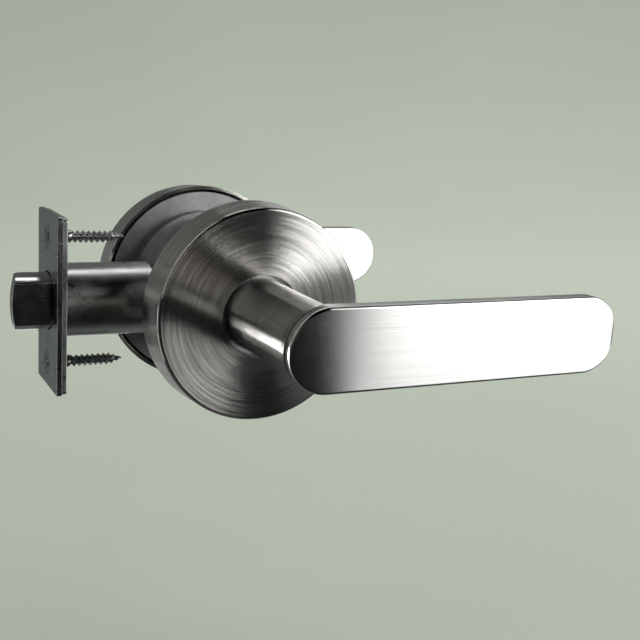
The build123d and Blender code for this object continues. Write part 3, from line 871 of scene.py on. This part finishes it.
def brushed(graph, vector, tangent, colors, roughness, depth):
    """Satin steel whose lines follow each other along the vector's first component."""
    fine = graph.noise(vector, 1.0, 2.0, 0.6)
    broad = graph.noise(vector, 0.23, 3.0, 0.55)
    smudge = graph.noise(graph.place, 38.0, 3.0, 0.5)
    grain = graph.plus(graph.times(fine, 0.7), graph.times(broad, 0.3))
    color = graph.blend(graph.remap(grain, 0.32, 0.68, 0.0, 1.0), *colors)
    rough = graph.remap(grain, 0.25, 0.75, *roughness)
    rough = graph.plus(rough, graph.remap(smudge, 0.35, 0.7, -0.025, 0.03))
    graph.shader.inputs["Anisotropic"].default_value = 1.0
    graph.link(tangent, graph.shader.inputs["Tangent"])
    return graph.surface(color, rough, graph.bump(grain, 0.35, depth))


def unsteady(graph, vector, turn):
    """A small change of the grain's direction from line to line."""
    return graph.remap(graph.noise(vector, 1.7, 2.0), 0.3, 0.7, -turn, turn)


def turned_satin(name):
    """Brushed round the Y axis, as on a lathe: roses and necks."""
    graph = Graph(name)
    x, y, z = graph.split(graph.place)
    radius = graph.math("SQRT", graph.plus(graph.times(x, x), graph.times(z, z)))
    radius = graph.math("MAXIMUM", radius, 0.0001)
    cosine = graph.math("DIVIDE", x, radius)
    sine = graph.math("DIVIDE", z, radius)
    across = graph.times(graph.math("SUBTRACT", radius, y), TURNED_GRAIN)
    vector = graph.join(across, graph.times(cosine, TURNED_SWEEP), graph.times(sine, TURNED_SWEEP))
    return graph, vector, cosine, sine


def make_rose_material():
    graph, vector, cosine, sine = turned_satin("rose_satin")
    normal = graph.node("ShaderNodeNewGeometry").outputs["True Normal"]
    facing = graph.math("ABSOLUTE", graph.split(normal)[1])
    jitter = unsteady(graph, vector, ROSE_UNSTEADY)
    out_x = graph.math("SUBTRACT", cosine, graph.times(sine, jitter))
    out_z = graph.plus(sine, graph.times(cosine, jitter))
    off_door = graph.math("SUBTRACT", 1.0, facing)
    tangent = graph.join(graph.times(facing, out_x), off_door, graph.times(facing, out_z))
    return brushed(graph, vector, tangent, ROSE_COLORS, ROSE_ROUGHNESS, ROSE_DEPTH)


def make_neck_material():
    graph, vector, cosine, sine = turned_satin("neck_satin")
    jitter = unsteady(graph, vector, NECK_UNSTEADY)
    tangent = graph.join(graph.times(sine, jitter), 1.0, graph.times(cosine, jitter))
    return brushed(graph, vector, tangent, NECK_COLORS, NECK_ROUGHNESS, NECK_DEPTH)


def make_blade_material():
    graph = Graph("blade_satin")
    x, y, z = graph.split(graph.place)
    along, off_door, across = BLADE_GRAIN
    vector = graph.join(graph.times(z, across), graph.times(x, along), graph.times(y, off_door))
    tangent = graph.join(unsteady(graph, vector, BLADE_UNSTEADY), BLADE_SLANT, 1.0)
    return brushed(graph, vector, tangent, BLADE_COLORS, BLADE_ROUGHNESS, BLADE_DEPTH)


def make_faceplate_material():
    graph = Graph("faceplate_polished")
    _, y, z = graph.split(graph.place)
    lines = graph.join(0.0, graph.times(y, PLATE_GRAIN[0]), graph.times(z, PLATE_GRAIN[1]))
    grain = graph.noise(lines, 1.0, 4.0)
    marks = graph.join(0.0, graph.times(y, PLATE_SCUFFS[0]), graph.times(z, PLATE_SCUFFS[1]))
    scuffs = graph.noise(marks, 1.0, 5.0, 0.7)
    patches = graph.noise(graph.place, 130.0, 4.0, 0.6)
    tone = graph.times(graph.remap(patches, 0.3, 0.7, 0.0, 1.0), grain)
    color = graph.blend(tone, *PLATE_COLORS)
    wear = graph.remap(scuffs, 0.55, 0.75, 0.0, 0.2)
    rough = graph.plus(graph.remap(patches, 0.3, 0.7, 0.14, 0.26), wear)
    height = graph.plus(grain, graph.times(scuffs, 0.6))
    return graph.surface(color, rough, graph.bump(height, 0.4, PLATE_DEPTH))


def make_bolt_material():
    graph = Graph("bolt_nickel")
    x, _, z = graph.split(graph.place)
    lines = graph.join(graph.times(x, BOLT_RUB[0]), 0.0, graph.times(z, BOLT_RUB[1]))
    rub = graph.noise(lines, 1.0, 4.0)
    patches = graph.noise(graph.place, 260.0, 4.0, 0.6)
    worn = graph.remap(patches, 0.3, 0.7, 0.4, 1.0)
    tone = graph.times(graph.remap(rub, 0.3, 0.7, 0.2, 1.0), worn)
    color = graph.blend(tone, *BOLT_COLORS)
    rough = graph.remap(tone, 0.0, 1.0, 0.10, 0.22)
    return graph.surface(color, rough, graph.bump(rub, 0.3, BOLT_DEPTH))


def make_grainy(name, dark, light, roughness, scale, distance, metallic=1.0):
    """Cast, sintered, plated or moulded surfaces: mottled tone and fine bumps."""
    graph = Graph(name)
    mottle = graph.noise(graph.place, scale * 0.12, 4.0, 0.6)
    fine = graph.noise(graph.place, scale, 5.0, 0.65)
    tone = graph.plus(graph.times(mottle, 0.65), graph.times(fine, 0.35))
    color = graph.blend(graph.remap(tone, 0.35, 0.65, 0.0, 1.0), dark, light)
    rough = graph.remap(tone, 0.3, 0.7, *roughness)
    return graph.surface(color, rough, graph.bump(fine, 0.5, distance), metallic)


def dress(material, *nodes):
    """Gives CAD nodes, whose shape stays as it is, their material."""
    for name in nodes:
        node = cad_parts[name]
        node.data.materials.clear()
        node.data.materials.append(material)


# ---------------------------------------------------------------- stage


def make_stage():
    """A pale floor that curves up into a wall all round."""
    flat = FLAT_STEP * FLAT_STEPS
    outline = [(PINHOLE, FLOOR_Z)]
    outline += [(FLAT_STEP * i, FLOOR_Z) for i in range(1, FLAT_STEPS + 1)]
    for step in range(1, BOWL_STEPS + 1):
        angle = math.pi / 2 * step / BOWL_STEPS
        rise = BOWL_R * (1 - math.cos(angle))
        outline.append((flat + BOWL_R * math.sin(angle), FLOOR_Z + rise))
    outline.append((flat + BOWL_R, WALL_TOP))
    points, faces = lathe(outline, FLOOR_SIDES, closed=False)
    mesh = bpy.data.meshes.new("studio_floor")
    mesh.from_pydata(points, [], faces)
    mesh.polygons.foreach_set("use_smooth", [True] * len(mesh.polygons))
    mesh.materials.append(make_floor_material())
    floor = add_object("studio_floor", mesh)
    floor.visible_glossy = False


def make_floor_material():
    graph = Graph("floor_paint")
    mottle = graph.noise(graph.place, 3.0, 3.0)
    color = graph.blend(mottle, *FLOOR_COLORS)
    graph.shader.inputs["Specular IOR Level"].default_value = 0.0
    return graph.surface(color, graph.remap(mottle, 0.3, 0.7, 0.8, 0.9), metallic=0.0)


def make_softbox(name, direction, distance, size, power, color):
    """An area light that faces the set and shows only in the metal."""
    light = bpy.data.lights.new(name, "AREA")
    light.shape = "RECTANGLE"
    light.size, light.size_y = size
    light.energy = power
    light.color = color
    lamp = add_object(name, light)
    toward = Vector(direction).normalized()
    lamp.location = toward * distance
    lamp.rotation_mode = "QUATERNION"
    lamp.rotation_quaternion = toward.to_track_quat("Z", "Y")
    lamp.visible_camera = False
    lamp.visible_diffuse = False
    return lamp


def make_lights():
    for row in SOFTBOXES:
        make_softbox(*row)
    reach = Vector(STRIP_PLACE).length
    strip = make_softbox("neck_strip", STRIP_PLACE, reach, STRIP_SIZE, STRIP_POWER, WHITE)
    strip.rotation_quaternion = Matrix(STRIP_TURN).transposed().to_quaternion()
    floor_lamp = make_softbox(*OVERHEAD)
    floor_lamp.visible_glossy = False
    floor_lamp.visible_diffuse = True


def make_world():
    """Reflected surroundings: dark on the camera's side, brighter behind the set."""
    world = bpy.data.worlds.new("studio")
    bpy.context.scene.world = world
    world.use_nodes = True
    tree = world.node_tree
    tree.nodes.clear()
    coordinates = tree.nodes.new("ShaderNodeTexCoord")
    split = tree.nodes.new("ShaderNodeSeparateXYZ")
    tree.links.new(coordinates.outputs["Generated"], split.inputs[0])

    def ramp(source, low, high, to_low, to_high):
        node = tree.nodes.new("ShaderNodeMapRange")
        node.interpolation_type = "SMOOTHSTEP"
        tree.links.new(source, node.inputs[0])
        for value, target in zip((low, high, to_low, to_high), node.inputs[1:5]):
            target.default_value = value
        return node.outputs[0]

    level = tree.nodes.new("ShaderNodeMath")
    level.operation = "ADD"
    tree.links.new(ramp(split.outputs[1], *WORLD_BACK), level.inputs[0])
    tree.links.new(ramp(split.outputs[2], *WORLD_ABOVE), level.inputs[1])
    background = tree.nodes.new("ShaderNodeBackground")
    background.inputs["Color"].default_value = WORLD_COLOR
    tree.links.new(level.outputs[0], background.inputs["Strength"])
    output = tree.nodes.new("ShaderNodeOutputWorld")
    tree.links.new(background.outputs[0], output.inputs[0])


def make_camera():
    camera = bpy.data.cameras.new("camera")
    camera.lens = CAMERA_LENS
    camera.sensor_width = CAMERA_SENSOR
    camera.clip_start, camera.clip_end = CAMERA_CLIP
    seat = add_object("camera", camera)
    aim, up = Vector(CAMERA_AIM).normalized(), Vector(CAMERA_UP).normalized()
    right = aim.cross(up).normalized()
    turn = Matrix((right, right.cross(aim), -aim)).transposed()
    seat.matrix_world = Matrix.Translation(CAMERA_PLACE) @ turn.to_4x4()
    bpy.context.scene.camera = seat


make_camera()
make_stage()
make_lights()
make_world()

plated = make_grainy("plated_steel", (0.50, 0.51, 0.50), (0.70, 0.71, 0.70), (0.22, 0.4), 900.0, 6e-6)
cast = make_grainy("cast_zinc", (0.30, 0.30, 0.295), (0.42, 0.42, 0.41), (0.42, 0.6), 2200.0, 3e-5)
drawn = make_grainy("spring_steel", (0.24, 0.24, 0.235), (0.42, 0.41, 0.40), (0.2, 0.38), 1800.0, 5e-6)
sintered = make_grainy("hub_steel", (0.16, 0.155, 0.15), (0.27, 0.265, 0.255), (0.35, 0.55), 3000.0, 2e-5)
screws = make_grainy("screw_steel", (0.32, 0.33, 0.32), (0.55, 0.55, 0.53), (0.2, 0.4), 1400.0, 6e-6)
moulded = make_grainy("acetal", (0.72, 0.71, 0.67), (0.8, 0.79, 0.75), (0.35, 0.5), 1500.0, 6e-6, 0.0)
bolt_nickel = make_bolt_material()

make_levers(make_blade_material(), make_neck_material())
make_roses(make_rose_material())
make_return_springs(drawn)
make_wood_screws(screws)
make_through_screws(screws)
make_faceplates(make_faceplate_material(), plated)
make_latch_tube(plated)
make_latch_spring(drawn)

dress(bolt_nickel, "latch_bolt")
dress(cast, "outside_mounting_plate", "inside_mounting_plate")
dress(moulded, "outside_bush", "inside_bush")
dress(sintered, "latch_hub", "latch_bolt_pin")
dress(
    plated,
    "outside_spring_driver",
    "inside_spring_driver",
    "outside_thrust_washer",
    "inside_thrust_washer",
    "spindle",
    "mounting_posts",
    "latch_side_plate_outside",
    "latch_side_plate_inside",
    "latch_case_rivets",
    "latch_spring_seat",
    "draw_bar",
)
dress(drawn, "outside_circlip", "inside_circlip")

bpy.context.scene.view_settings.view_transform = "Standard"
